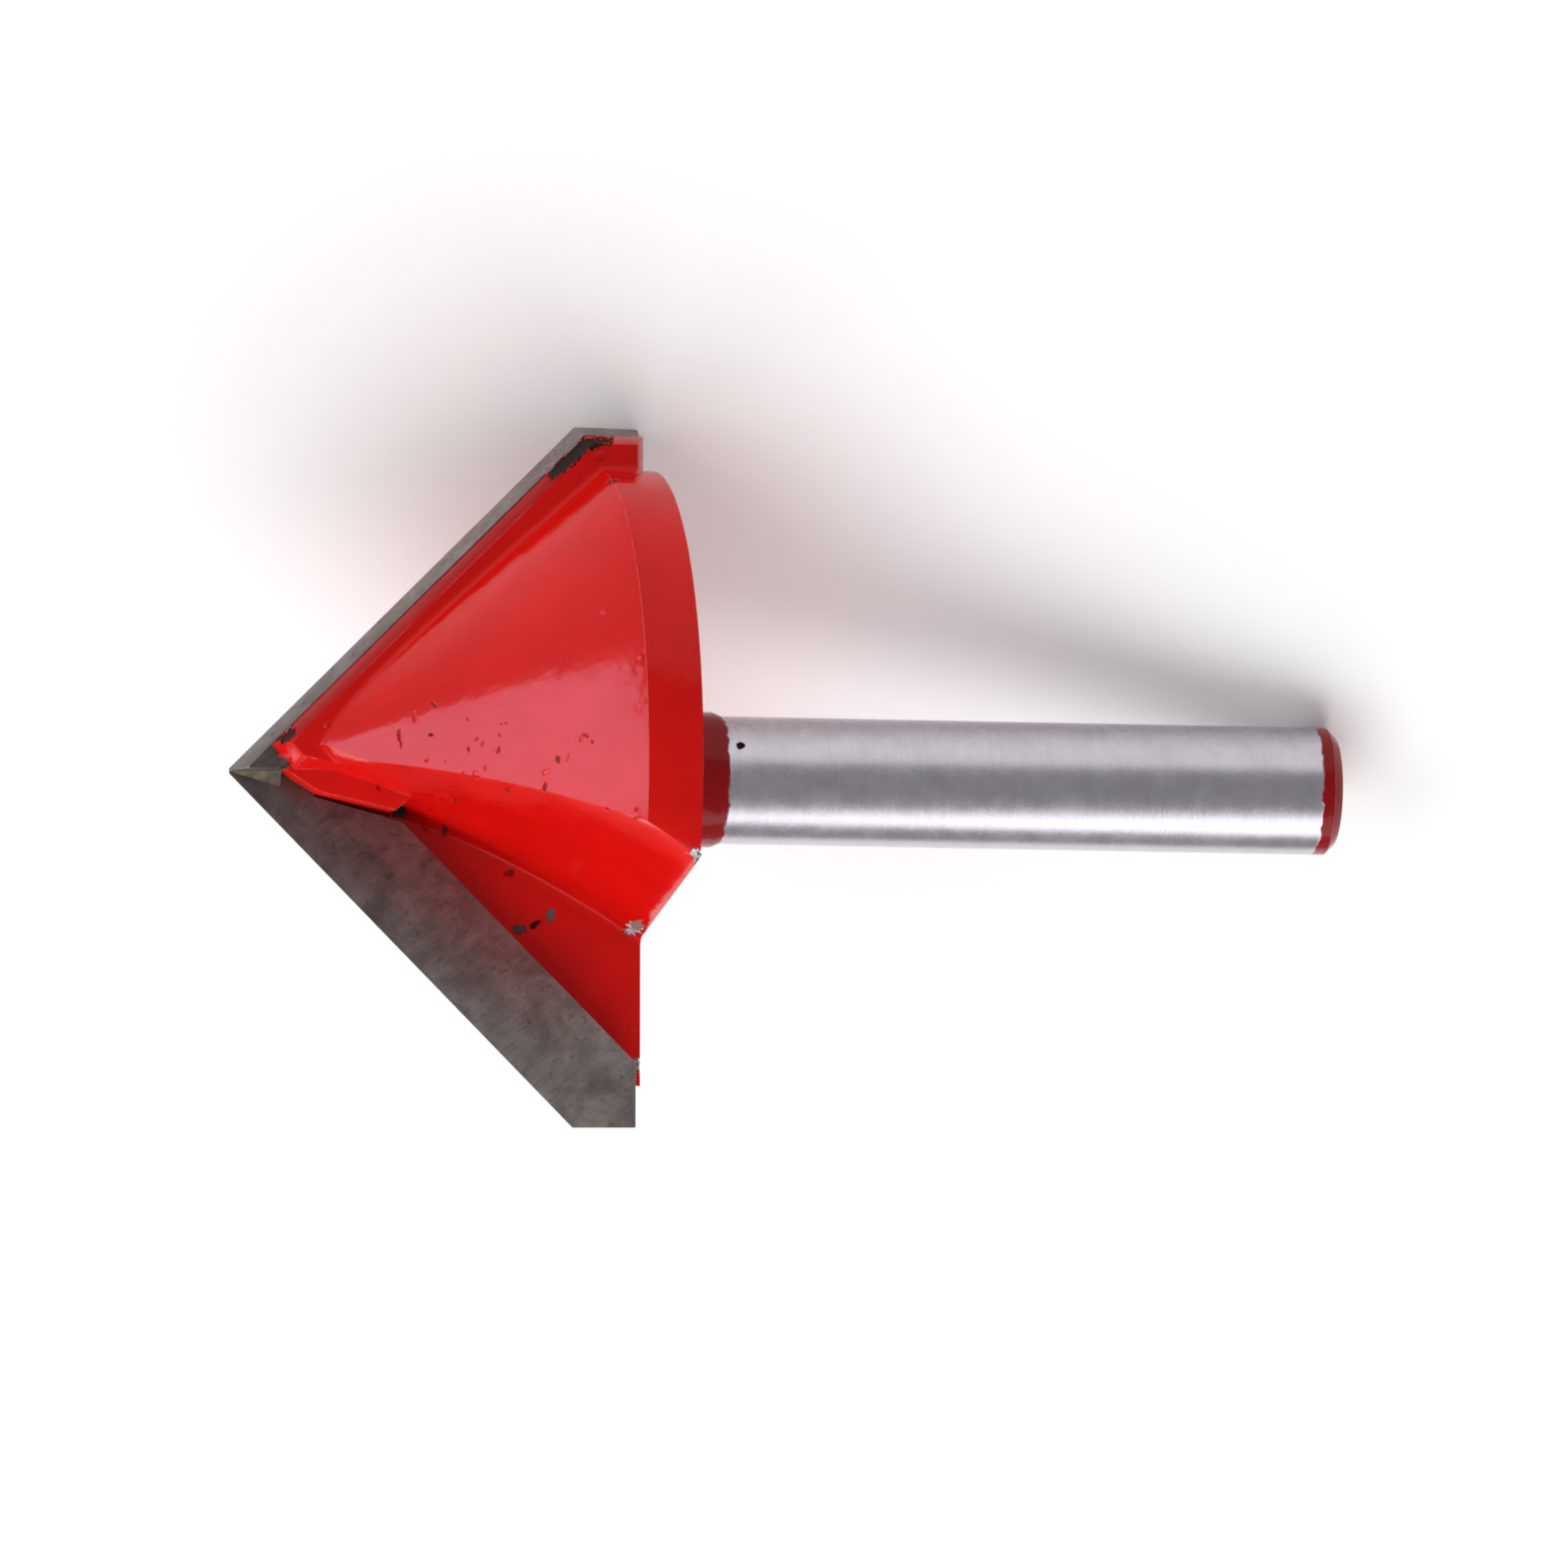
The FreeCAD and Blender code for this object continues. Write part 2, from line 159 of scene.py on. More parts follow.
def ramp(tree, value, low, high):
    """0 below low, 1 above high, smooth between them."""
    node = tree.nodes.new("ShaderNodeMapRange")
    node.interpolation_type = "SMOOTHSTEP"
    put(tree, node, "Value", value)
    put(tree, node, "From Min", low)
    put(tree, node, "From Max", high)
    return node.outputs[0]


def blend(tree, share, first, second, kind="RGBA"):
    """The first value at a share of 0, the second at 1."""
    node = tree.nodes.new("ShaderNodeMix")
    node.data_type = kind
    first_socket, second_socket, result = MIX_SOCKETS[kind]
    put(tree, node, 0, share)
    put(tree, node, first_socket, first)
    put(tree, node, second_socket, second)
    return node.outputs[result]


def noise(tree, place, scale, detail=3.0, rough=0.55, distort=0.0):
    """Soft noise between 0 and 1, with scale in waves for each unit of place."""
    node = tree.nodes.new("ShaderNodeTexNoise")
    put(tree, node, "Vector", place)
    put(tree, node, "Scale", scale)
    put(tree, node, "Detail", detail)
    put(tree, node, "Roughness", rough)
    put(tree, node, "Distortion", distort)
    return node.outputs["Fac"]


def rgb(red, green, blue):
    """A colour written as it is seen on a screen, 0 to 255, in the renderer's units."""
    def part(value):
        value /= 255
        return value / 12.92 if value <= 0.04045 else ((value + 0.055) / 1.055) ** 2.4
    return (part(red), part(green), part(blue), 1.0)


def make_place_group():
    """Object coordinates turned into the tool's own directions, in millimetres."""
    group = bpy.data.node_groups.new("tool_place", "ShaderNodeTree")
    group.interface.new_socket("Place", in_out="OUTPUT", socket_type="NodeSocketVector")
    coordinates = group.nodes.new("ShaderNodeTexCoord")
    shift = group.nodes.new("ShaderNodeVectorMath")
    shift.operation = "SUBTRACT"
    put(group, shift, 0, coordinates.outputs["Object"])
    put(group, shift, 1, POINT)
    parts = group.nodes.new("ShaderNodeCombineXYZ")
    for number, direction in enumerate((ALONG, ACROSS, FACING)):
        dot = group.nodes.new("ShaderNodeVectorMath")
        dot.operation = "DOT_PRODUCT"
        put(group, dot, 0, shift.outputs[0])
        put(group, dot, 1, direction / MM)
        put(group, parts, number, dot.outputs["Value"])
    out = group.nodes.new("NodeGroupOutput")
    put(group, out, "Place", parts.outputs[0])
    return group


PLACE_GROUP = make_place_group()


def new_material(name):
    """A material's tree, its place socket in tool millimetres and its shader."""
    material = bpy.data.materials.new(name)
    material.use_nodes = True
    tree = material.node_tree
    shader = tree.nodes["Principled BSDF"]
    place = tree.nodes.new("ShaderNodeGroup")
    place.node_tree = PLACE_GROUP
    return material, tree, shader, place.outputs["Place"]


def stretched(tree, place, size, turn=(0, 0, 0)):
    """Places turned about the tool's point and then stretched by size."""
    turned = tree.nodes.new("ShaderNodeMapping")
    put(tree, turned, "Vector", place)
    put(tree, turned, "Rotation", turn)
    node = tree.nodes.new("ShaderNodeMapping")
    put(tree, node, "Vector", turned.outputs[0])
    put(tree, node, "Scale", size)
    return node.outputs[0]


def x_of(tree, place):
    """How far a place lies from the point along the tool, in millimetres."""
    parts = tree.nodes.new("ShaderNodeSeparateXYZ")
    put(tree, parts, 0, place)
    return parts.outputs[0]


def bump(tree, height, strength, distance):
    """A normal that follows a height between 0 and 1 over a distance in metres."""
    node = tree.nodes.new("ShaderNodeBump")
    put(tree, node, "Height", height)
    put(tree, node, "Strength", strength)
    put(tree, node, "Distance", distance)
    return node.outputs["Normal"]


PAINT_RED = rgb(217, 16, 11)
PAINT_DEEP = rgb(208, 14, 10)
PAINTED_SHADE_RELIEF = rgb(164, 7, 8)            # painted shade on the ridges' relief faces
PAINTED_SHADE_MAROON = rgb(138, 14, 20)        # painted shade on the neck, maroon all round
PAINTED_EDGE_HIGHLIGHT = rgb(255, 216, 208)        # painted highlight along the convex sharp edges
STAIN = rgb(44, 36, 30)                # brown, where the paint is gone
BARE_STEEL = rgb(206, 204, 202)
NECK_PAINT_END = 24.87       # mm from the point, where the head's paint stops
SHANK_PAINT_START = 54.95    # mm from the point, where the shank end's paint starts
PAINT_FADE = 0.06            # mm over which the paint's edge fades, to either side
NECK_SHADE_START = BODY_BACK / MM + 0.1    # mm from the point, where the neck's painted shade starts
NECK_SHADE_FULL = BODY_BACK / MM + 0.8     # mm from the point, where it is full
PAINT_SPECULAR = 0.17
SPECULAR_LOSS = 0.13         # on relief faces and where the paint is gone


def mesh_value(tree, name):
    """A value that the mesh carries; 0 on a mesh without it."""
    node = tree.nodes.new("ShaderNodeAttribute")
    node.attribute_name = name
    return node.outputs["Fac"]


def steel_values(tree, place):
    """Colour, roughness and height of the bare ground shank."""
    rings = noise(tree, stretched(tree, place, (22, 0.12, 0.12)), 1.0, 4.0, 0.7)
    cloud = noise(tree, place, 0.8, 4.0, 0.6)
    shade = calc(tree, "MULTIPLY_ADD", rings, 0.5, calc(tree, "MULTIPLY", cloud, 0.5))
    colour = blend(tree, ramp(tree, shade, 0.3, 0.72), rgb(186, 181, 190), rgb(204, 200, 208))
    rough = calc(tree, "MULTIPLY_ADD", cloud, 0.14, 0.2)
    return colour, rough, rings


def painted_steel():
    """Red enamel on the head and the shank's end, bare ground steel between them."""
    material, tree, shader, place = new_material("painted_steel")
    x = x_of(tree, place)
    ragged = calc(tree, "MULTIPLY_ADD", noise(tree, place, 0.9, 4.0), 0.7, -0.35)
    ragged_x = calc(tree, "ADD", x, ragged)
    on_head = ramp(tree, ragged_x, NECK_PAINT_END + PAINT_FADE, NECK_PAINT_END - PAINT_FADE)
    on_end = ramp(
        tree, ragged_x, SHANK_PAINT_START - PAINT_FADE, SHANK_PAINT_START + PAINT_FADE
    )
    bare = mesh_value(tree, "bare")
    worn = ramp(tree, bare, 0.4, 0.6)
    paint = calc(tree, "ADD", on_head, on_end, clamp=True)
    paint = calc(tree, "MULTIPLY", paint, calc(tree, "SUBTRACT", 1.0, worn))
    cloud = noise(tree, place, 0.25, 2.0)
    red = blend(tree, ramp(tree, cloud, 0.35, 0.7), PAINT_DEEP, PAINT_RED)
    # Painted shade: the neck is darkened to maroon all round, for the shade next to the head
    red = blend(tree, ramp(tree, x, NECK_SHADE_START, NECK_SHADE_FULL), red, PAINTED_SHADE_MAROON)
    # Painted shade: the ridges' relief faces are coloured a darker red; the same mask lowers
    # their gloss below
    relief = mesh_value(tree, "relief")
    red = blend(tree, relief, red, PAINTED_SHADE_RELIEF)
    # Painted highlight: pale broken lines along the convex rounded edges, in place of light
    # caught there
    highlight_breaks = ramp(tree, noise(tree, place, 0.3, 4.0, 0.65), 0.42, 0.54)
    highlight_share = calc(tree, "MULTIPLY", mesh_value(tree, "edge_highlight"), highlight_breaks, clamp=True)
    red = blend(tree, highlight_share, red, PAINTED_EDGE_HIGHLIGHT)
    steel, steel_rough, rings = steel_values(tree, place)
    shine = mesh_value(tree, "shine")
    exposed = blend(tree, shine, STAIN, BARE_STEEL)
    steel = blend(tree, ramp(tree, bare, 0.02, 0.12), steel, exposed)
    put(tree, shader, "Base Color", blend(tree, paint, steel, red))
    dull = calc(tree, "MULTIPLY", worn, calc(tree, "SUBTRACT", 1.0, shine))
    unpainted = calc(tree, "SUBTRACT", 1.0, paint)
    metal = calc(tree, "MULTIPLY", unpainted, calc(tree, "SUBTRACT", 1.0, dull))
    put(tree, shader, "Metallic", metal)
    peel = noise(tree, place, 0.7, 3.0)
    paint_rough = calc(tree, "MULTIPLY_ADD", peel, 0.1, 0.1)
    steel_rough = calc(tree, "MULTIPLY_ADD", worn, 0.25, steel_rough)
    put(tree, shader, "Roughness", blend(tree, paint, steel_rough, paint_rough, "FLOAT"))
    matt = calc(tree, "MAXIMUM", relief, worn)
    specular = calc(tree, "MULTIPLY_ADD", matt, -SPECULAR_LOSS, PAINT_SPECULAR)
    put(tree, shader, "Specular IOR Level", specular)
    height = blend(tree, paint, calc(tree, "MULTIPLY", rings, 0.1), peel, "FLOAT")
    put(tree, shader, "Normal", bump(tree, height, 0.6, 0.07 * MM))
    return material


CARBIDE_DARK_END = 3.0       # mm from the point, where the tips start to get lighter
CARBIDE_LIGHT_START = 18.0   # mm from the point, where they are lightest
SCRATCH_TURN = math.radians(-36)


def carbide():
    """Ground cemented carbide: mottled dark grey, small stains, fine diagonal scratches."""
    material, tree, shader, place = new_material("carbide")
    cloud = noise(tree, place, 0.6, 5.0, 0.66, 0.4)
    spots = noise(tree, place, 2.1, 3.0, 0.6, 0.6)
    across_grain = stretched(tree, place, (0.5, 9, 5), (0, 0, SCRATCH_TURN))
    scratches = noise(tree, across_grain, 1.0, 4.0, 0.75)
    shade = calc(tree, "MULTIPLY_ADD", scratches, 0.35, calc(tree, "MULTIPLY", cloud, 0.65))
    shade = ramp(tree, shade, 0.34, 0.7)
    near_point = blend(tree, shade, rgb(92, 82, 78), rgb(128, 118, 116))
    near_rim = blend(tree, shade, rgb(122, 112, 108), rgb(160, 151, 147))
    outwards = ramp(tree, x_of(tree, place), CARBIDE_DARK_END, CARBIDE_LIGHT_START)
    colour = blend(tree, outwards, near_point, near_rim)
    stained = calc(tree, "MULTIPLY", ramp(tree, spots, 0.58, 0.7), 0.45)
    colour = blend(tree, stained, colour, rgb(62, 52, 50))
    put(tree, shader, "Base Color", colour)
    put(tree, shader, "Metallic", 0.85)
    rough = calc(tree, "MULTIPLY_ADD", cloud, 0.25, 0.3)
    put(tree, shader, "Roughness", calc(tree, "MULTIPLY_ADD", stained, 0.25, rough))
    put(tree, shader, "Normal", bump(tree, scratches, 0.3, 0.02 * MM))
    return material


def braze():
    """Dull khaki brazing alloy with darker flux stains."""
    material, tree, shader, place = new_material("braze")
    cloud = noise(tree, place, 1.8, 4.0)
    colour = blend(tree, ramp(tree, cloud, 0.35, 0.7), rgb(54, 45, 28), rgb(100, 88, 60))
    put(tree, shader, "Base Color", colour)
    put(tree, shader, "Metallic", 0.3)
    put(tree, shader, "Roughness", calc(tree, "MULTIPLY_ADD", cloud, 0.2, 0.42))
    put(tree, shader, "Normal", bump(tree, cloud, 0.4, 0.04 * MM))
    return material


def show_material(obj, material):
    """Gives an object one material in place of those it has."""
    obj.data.materials.clear()
    obj.data.materials.append(material)


# The pieces: merged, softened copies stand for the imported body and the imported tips, and
# the braze layers are shown as packed
def evaluated_mesh(piece):
    """The piece's mesh with its modifiers applied."""
    graph = bpy.context.evaluated_depsgraph_get()
    return bpy.data.meshes.new_from_object(
        piece.evaluated_get(graph), preserve_all_data_layers=True, depsgraph=graph
    )


def new_piece(name, mesh):
    """A new object in the scene."""
    piece = bpy.data.objects.new(name, mesh)
    bpy.context.scene.collection.objects.link(piece)
    return piece


BODY_ROUNDING = 0.16 * MM    # width of the body's rounded edges
TIP_ROUNDING = 0.03 * MM     # width of the tips' rounded edges
SHARP_ANGLE = math.radians(32)   # edges that turn by more than this are rounded
ROUNDING_SEGMENTS = 3
ROUNDED_SLOT = 1             # material slot that marks the rounded edges' faces
MERGE_DISTANCE = 0.002 * MM
FLAT_ANGLE = math.radians(0.5)   # faces that turn by less are joined into one
HIGHLIGHT_PEAK = 2.2                    # at the middle of a rounded edge; the painted highlight is full above 1


def mark_rounded(mesh):
    """Gives the middle of each convex rounded edge its painted-highlight value, and clears the
    slots.
    """
    cells = bmesh.new()
    cells.from_mesh(mesh)
    highlight_layer = cells.verts.layers.float.new("edge_highlight")
    for vertex in cells.verts:
        around = [edge.other_vert(vertex).co for edge in vertex.link_edges]
        rounded = all(face.material_index == ROUNDED_SLOT for face in vertex.link_faces)
        if around and rounded:
            average = sum(around, Vector()) / len(around)
            if (average - vertex.co).dot(vertex.normal) < 0:
                vertex[highlight_layer] = HIGHLIGHT_PEAK
    for face in cells.faces:
        face.material_index = 0
    cells.to_mesh(mesh)
    cells.free()


def softened(node, width):
    """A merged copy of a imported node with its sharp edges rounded."""
    mesh = nodes[node].data.copy()
    cells = bmesh.new()
    cells.from_mesh(mesh)
    bmesh.ops.remove_doubles(cells, verts=cells.verts, dist=MERGE_DISTANCE)
    bmesh.ops.dissolve_limit(
        cells, angle_limit=FLAT_ANGLE, verts=cells.verts, edges=cells.edges
    )
    bmesh.ops.recalc_face_normals(cells, faces=cells.faces)
    for face in cells.faces:
        face.smooth = True
    cells.to_mesh(mesh)
    cells.free()
    mesh.materials.clear()
    for _ in range(ROUNDED_SLOT + 1):
        mesh.materials.append(None)
    piece = new_piece(node + "_finished", mesh)
    rounding = piece.modifiers.new("rounding", "BEVEL")
    rounding.width = width
    rounding.segments = ROUNDING_SEGMENTS
    rounding.limit_method = "ANGLE"
    rounding.angle_limit = SHARP_ANGLE
    rounding.material = ROUNDED_SLOT
    piece.data = evaluated_mesh(piece)
    piece.modifiers.clear()
    mark_rounded(piece.data)
    piece.data.set_sharp_from_angle(angle=SHARP_ANGLE)
    return piece


def dress(piece, node, slot):
    """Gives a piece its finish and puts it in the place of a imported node."""
    show_material(piece, finishes[slot])
    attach(piece, "root")
    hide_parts(node)


# Marks seen on the painted body. Places and half sizes are photo pixels, turn is in degrees.
# Depth is in millimetres, below 0 for a blob of paint. Bare wears the paint off between 0.4
# and 0.6, and shine is 0 for brown stain, 1 for metal.
MARKS = (
    {"at": (697, 855), "size": (9, 7), "turn": 40, "depth": 0.20, "bare": 1.0, "shine": 1.0},
    {"at": (634, 930), "size": (9, 7), "turn": 30, "depth": 0.16, "bare": 1.0, "shine": 1.0},
    {"at": (639, 1066), "size": (5, 8), "turn": 0, "depth": 0.14, "bare": 1.0, "shine": 0.9},
    {"at": (397, 811), "size": (10, 7), "turn": -40, "depth": 0.07, "bare": 1.0, "shine": 0.08},
    {"at": (519, 930), "size": (8, 4.5), "turn": 10, "depth": 0.05, "bare": 0.9, "shine": 0.15},
    {"at": (536, 924), "size": (9, 3), "turn": 30, "depth": 0.05, "bare": 0.62, "shine": 0.0},
    {"at": (551, 917), "size": (6, 6), "turn": 10, "depth": 0.05, "bare": 0.9, "shine": 0.2},
    {"at": (508, 874), "size": (6, 4), "turn": 20, "depth": 0.03, "bare": 0.52, "shine": 0.0},
    {"at": (610, 973), "size": (9, 8), "turn": 0, "depth": 0.03, "bare": 0.51, "shine": 0.0},
    {"at": (592, 1003), "size": (3, 3), "turn": 0, "depth": 0.04, "bare": 0.8, "shine": 0.0},
    {"at": (632, 1032), "size": (5, 3.5), "turn": 30, "depth": -0.06, "bare": 0.0, "shine": 0.0},
    {"at": (551, 883), "size": (4, 3), "turn": 0, "depth": -0.08, "bare": 0.0, "shine": 0.0},
    {"at": (611, 481), "size": (6, 4), "turn": 10, "depth": 0.08, "bare": 0.5, "shine": 0.0},
    {"at": (445, 800), "size": (8, 6), "turn": 0, "depth": -0.07, "bare": 0.0, "shine": 0.0},
    {"at": (431, 826), "size": (8, 6), "turn": 15, "depth": -0.09, "bare": 0.0, "shine": 0.0},
    {"at": (444, 832), "size": (4, 6), "turn": 0, "depth": 0.05, "bare": 0.53, "shine": 0.0},
    {"at": (600, 456), "size": (4, 4), "turn": 0, "depth": -0.10, "bare": 0.0, "shine": 0.0},
    {"at": (328, 725), "size": (4, 4), "turn": 0, "depth": -0.09, "bare": 0.0, "shine": 0.0},
    {"at": (401, 738), "size": (2.0, 9), "turn": 12, "depth": 0.03, "bare": 0.54, "shine": 0.0},
    {"at": (436, 706), "size": (2, 4), "turn": 40, "depth": 0.03, "bare": 0.54, "shine": 0.0},
    {"at": (432, 735), "size": (2.6, 1.8), "turn": 0, "depth": 0.03, "bare": 0.58, "shine": 0.0},
    {"at": (605, 613), "size": (4, 3), "turn": 0, "depth": -0.05, "bare": 0.0, "shine": 0.0},
    {"at": (641, 658), "size": (3, 3), "turn": 0, "depth": -0.07, "bare": 0.0, "shine": 0.0},
    {"at": (741, 746), "size": (3.2, 3.2), "turn": 0, "depth": 0.10, "bare": 0.9, "shine": 0.0},
    {"at": (676, 489), "size": (6, 5), "turn": 0, "depth": -0.22, "bare": 0.6, "shine": 0.0},
    {"at": (643, 1074), "size": (6, 12), "turn": 0, "depth": -0.16, "bare": 0.0, "shine": 0.0},
)
PITS = 46
PIT_SEED = 7
PIT_SIZES = (1.1, 2.4)       # least and largest half size
PIT_STRETCHES = (1, 2.2)     # length for each width
PIT_TURNS = (-60, 60)
PIT_DEPTH = 0.03
PIT_BARES = (0.44, 0.56)
PIT_AREA = ((372, 700), (640, 822))    # where small pits speckle the flank, in photo pixels
PATCHES = (
    {"corners": ((546, 470), (582, 438), (612, 436), (613, 442), (588, 452), (552, 481)),
     "depth": 0.06, "bare": 1.0, "shine": 0.0},
    {"corners": ((290, 726), (298, 735), (283, 745), (279, 740)),
     "depth": 0.06, "bare": 1.0, "shine": 0.0},
)


OUTSIDE = 0.2                # metres from the point, well clear of the bit


def pixel_of(place):
    """The photo pixel that a place is seen at, the camera taken as very far away."""
    offset = (place - POINT) / MM
    return (
        POINT_PIXEL[0] + offset.dot(RIGHT) * PIXELS_PER_MM,
        POINT_PIXEL[1] - offset.dot(UP) * PIXELS_PER_MM,
    )


def surface_at(tree, pixel):
    """The nearest surface point seen at a photo pixel, or None."""
    right, up = photo_offset(pixel)
    start = POINT + RIGHT * right + UP * up + TO_CAMERA * OUTSIDE
    place, _, _, _ = tree.ray_cast(start, -TO_CAMERA)
    return place


def all_marks():
    """The listed marks and a seeded scatter of small pits."""
    draw = random.Random(PIT_SEED)
    (left, top), (right, bottom) = PIT_AREA
    pits = []
    for _ in range(PITS):
        size = draw.uniform(*PIT_SIZES)
        pits.append({
            "at": (draw.uniform(left, right), draw.triangular(top, bottom, bottom)),
            "size": (size, size * draw.uniform(*PIT_STRETCHES)),
            "turn": draw.uniform(*PIT_TURNS),
            "depth": PIT_DEPTH,
            "bare": draw.uniform(*PIT_BARES),
            "shine": 0.0,
        })
    return list(MARKS) + pits


def inside_outline(corners, x, y):
    """Whether a place lies inside a closed outline, by the edges to its right."""
    inside = False
    for (x1, y1), (x2, y2) in zip(corners, corners[1:] + corners[:1]):
        if (y1 > y) != (y2 > y) and x < (x2 - x1) * (y - y1) / (y2 - y1) + x1:
            inside = not inside
    return inside


RAGGED = 0.6                 # share by which a mark's edge wanders
RAGGED_SCALE = 3500          # waves of that wandering per metre
MARK_EDGE = 1.15             # share of a mark's size at which it ends
MARK_FADE = 0.35             # share of its size over which it fades
PATCH_WANDER = 8             # photo pixels by which a patch's outline wanders
PATCH_SHIFT = 1.7            # makes y wander otherwise than x


def wander(place):
    """A steady random share, about -RAGGED to RAGGED, for a place."""
    return RAGGED * mathutils_noise.fractal(place * RAGGED_SCALE, 0.8, 2.0, 3)


def mark_share(mark, place):
    """1 in the middle of an oval mark, 0 outside it."""
    x, y = pixel_of(place)
    dx, dy = x - mark["at"][0], y - mark["at"][1]
    turn = math.radians(mark["turn"])
    along = dx * math.cos(turn) - dy * math.sin(turn)
    across = dx * math.sin(turn) + dy * math.cos(turn)
    reach = math.hypot(along / mark["size"][0], across / mark["size"][1])
    return min(1.0, max(0.0, (MARK_EDGE - reach - wander(place)) / MARK_FADE))


def patch_share(patch, place):
    """1 inside a patch's outline, 0 outside it."""
    x, y = pixel_of(place)
    x += wander(place) * PATCH_WANDER
    y += wander(place * PATCH_SHIFT) * PATCH_WANDER
    return 1.0 if inside_outline(patch["corners"], x, y) else 0.0


FINE = 0.09 * MM             # longest edge of the mesh inside a mark
LEAST_REACH = 0.12 * MM      # smallest radius that is refined round a mark
MARK_REACH = 1.5             # refined radius for each half size of a mark
PATCH_REACH = 1.2            # refined radius for each half width of a patch
CARVE_REACH = 1.2            # carved radius for each refined radius
MOST_SPLITS = 12
TURNED_AWAY = -0.3           # cosine to the camera below which no mark is carved
RELIEF_TILT = math.radians(20)   # of the ridges' relief faces from the 45 degree cone
RELIEF_SLOPE = math.cos(RELIEF_TILT) * math.sqrt(0.5)
RELIEF_DIRECTIONS = tuple(   # the relief faces look along these
    tool_vector(-RELIEF_SLOPE, side * RELIEF_SLOPE, side * math.sin(RELIEF_TILT))
    for side in (1, -1)
)
RELIEF_MATCH = 0.995         # cosine to such a direction that counts as the same
RELIEF_DEPTH = 0.1 * MM      # how far below the outermost point a relief face may lie


def mark_regions(tree):
    """Each mark with its middle on the surface, its reach and its share function."""
    regions = []
    for mark in all_marks():
        middle = surface_at(tree, mark["at"])
        if middle is not None:
            reach = max(mark["size"]) * MARK_REACH / PIXELS_PER_MM * MM
            regions.append((middle, max(reach, LEAST_REACH), mark, mark_share))
    for patch in PATCHES:
        corners = patch["corners"]
        centre = tuple(sum(values) / len(corners) for values in zip(*corners))
        middle = surface_at(tree, centre)
        if middle is not None:
            widest = max(math.dist(centre, corner) for corner in corners)
            reach = widest * PATCH_REACH / PIXELS_PER_MM * MM
            regions.append((middle, reach, patch, patch_share))
    return regions


def refine(cells, regions):
    """Splits the edges inside the marks until they are fine enough to carve."""
    bmesh.ops.triangulate(cells, faces=cells.faces)
    for _ in range(MOST_SPLITS):
        long_edges = []
        for edge in cells.edges:
            length = edge.calc_length()
            if length <= FINE:
                continue
            first, second = edge.verts[0].co, edge.verts[1].co
            for middle, reach, _, _ in regions:
                step = second - first
                share = max(0.0, min(1.0, (middle - first).dot(step) / step.length_squared))
                if (first + step * share - middle).length < reach:
                    long_edges.append(edge)
                    break
        if not long_edges:
            break
        bmesh.ops.subdivide_edges(cells, edges=long_edges, cuts=1)
        bmesh.ops.triangulate(cells, faces=[f for f in cells.faces if len(f.verts) > 3])


def mark_relief(cells):
    """Gives the ridges' relief faces a relief value of 1, the mask for their painted shade and
    lower gloss.
    """
    relief_layer = cells.verts.layers.float.new("relief")
    for direction in RELIEF_DIRECTIONS:
        lowest = max(vertex.co.dot(direction) for vertex in cells.verts) - RELIEF_DEPTH
        for face in cells.faces:
            if face.normal.dot(direction) > RELIEF_MATCH:
                for vertex in face.verts:
                    if vertex.co.dot(direction) > lowest:
                        vertex[relief_layer] = 1.0


def carve(cells, regions):
    """Carves the marks, with their bare and shine values; returns the vertices' shifts."""
    bare_layer = cells.verts.layers.float.new("bare")
    shine_layer = cells.verts.layers.float.new("shine")
    moved = {}
    for vertex in cells.verts:
        if vertex.normal.dot(TO_CAMERA) <= TURNED_AWAY:
            continue
        for middle, reach, mark, share_at in regions:
            if (vertex.co - middle).length > reach * CARVE_REACH:
                continue
            share = share_at(mark, vertex.co)
            if share > 0:
                vertex[bare_layer] = max(vertex[bare_layer], share * mark["bare"])
                vertex[shine_layer] = max(vertex[shine_layer], mark["shine"])
                moved[vertex.index] = moved.get(vertex.index, 0) - share * mark["depth"] * MM
    cells.verts.ensure_lookup_table()
    shifts = {index: cells.verts[index].normal.copy() * shift for index, shift in moved.items()}
    for index, shift in shifts.items():
        cells.verts[index].co += shift
    return moved


def carry_normals(piece, smooth, moved):
    """Gives the untouched surface the smooth piece's normals."""
    untouched = [v.index for v in piece.data.vertices if v.index not in moved]
    plain = piece.vertex_groups.new(name="plain")
    plain.add(untouched, 1.0, "REPLACE")
    carry = piece.modifiers.new("normals", "DATA_TRANSFER")
    carry.object = smooth
    carry.use_loop_data = True
    carry.data_types_loops = {"CUSTOM_NORMAL"}
    carry.loop_mapping = "POLYINTERP_NEAREST"
    carry.vertex_group = "plain"
    piece.data = evaluated_mesh(piece)
    piece.modifiers.clear()


def marked_body(smooth):
    """The body with its chips, pits and blobs carved, and where the paint is gone."""
    tree = BVHTree.FromObject(smooth, bpy.context.evaluated_depsgraph_get())
    regions = mark_regions(tree)
    mesh = smooth.data.copy()
    cells = bmesh.new()
    cells.from_mesh(mesh)
    refine(cells, regions)
    cells.normal_update()
    mark_relief(cells)
    moved = carve(cells, regions)
    for face in cells.faces:
        face.smooth = True
    cells.to_mesh(mesh)
    cells.free()
    piece = new_piece("bit_body_marked", mesh)
    carry_normals(piece, smooth, moved)
    bpy.data.objects.remove(smooth)
    return piece


finishes = {"painted_steel": painted_steel(), "carbide": carbide(), "braze": braze()}
dress(marked_body(softened("bit_body", BODY_ROUNDING)), "bit_body", "painted_steel")
for number in (1, 2):
    tip = f"carbide_tip_{number}"
    dress(softened(tip, TIP_ROUNDING), tip, "carbide")
    layer = f"braze_layer_{number}"
    show_material(nodes[layer], finishes["braze"])


# Floor and soft studio light
FLOOR_HALF = 3.0             # metres from its middle to each side
FLOOR_SHADE = 0.9
FLOOR_LIFT = 0.07            # raises the pale floor to white where it is seen
SKY_STRENGTH = 0.34


